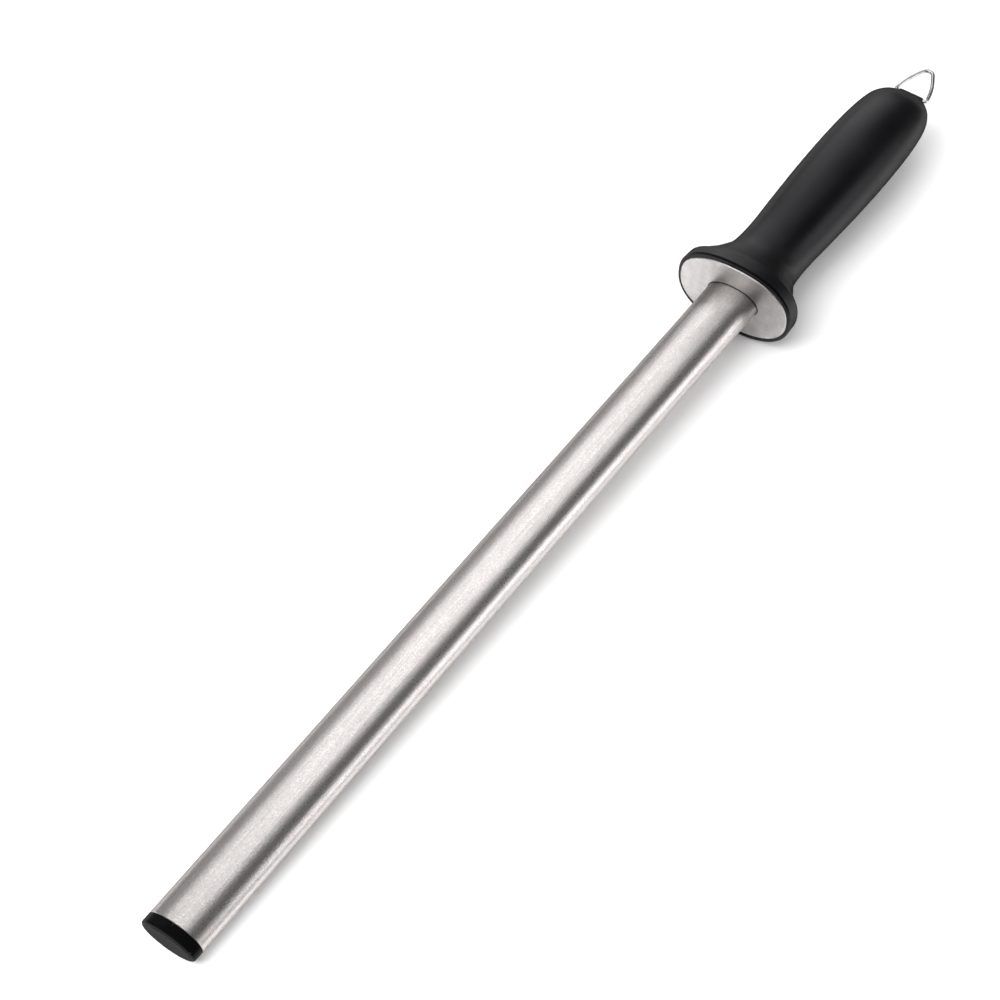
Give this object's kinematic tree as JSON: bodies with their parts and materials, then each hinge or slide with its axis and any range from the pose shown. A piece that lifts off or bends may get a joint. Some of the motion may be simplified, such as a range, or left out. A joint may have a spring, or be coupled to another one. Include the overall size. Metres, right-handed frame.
{
  "type": "knife sharpening steel",
  "caption": "Oval diamond-coated knife sharpening steel with a black tip cap, a flared oval guard, a moulded grip and a wire hanging loop.",
  "frame": {"origin": "on the axis of the steel, in the front face of the guard plate", "axes": "+Y runs from the guard along the grip to the butt, so the tip cap points to -Y; +X is across the broad face of the steel; +Z is square to the broad face and up as the steel lies flat"},
  "size_m": [0.045, 0.438, 0.0326],
  "materials": {
    "coated_steel": "nickel-bonded fine diamond grit, satin with a fine mottle",
    "plate_steel": "satin stainless with a faint cross brushing",
    "cap_plastic": "black moulded plastic, semi matte",
    "grip_plastic": "black moulded plastic, fine matte texture",
    "plug_plastic": "black moulded plastic",
    "seal_rubber": "matte black elastomer",
    "fastener_steel": "zinc-plated steel",
    "wire_steel": "bright drawn stainless wire"
  },
  "bodies": {
    "steel": {"blade_tube": "coated_steel", "tip_cap": "cap_plastic", "guard_plate": "plate_steel", "blade_seal": "seal_rubber", "handle_body": "grip_plastic", "anchor_block": "fastener_steel", "anchor_pins": "fastener_steel", "flat_washer": "fastener_steel", "lock_washer": "fastener_steel", "tie_screw": "fastener_steel", "end_plug": "plug_plastic"},
    "loop": {"hanging_loop": "wire_steel"}
  },
  "joints": [
    {"name": "loop_swing", "type": "hinge", "parent": "steel", "child": "loop", "pos_m": [0, 0.12485, 0], "axis": [1, 0, 0], "range_deg": [-96.5, 83.5]}
  ]
}
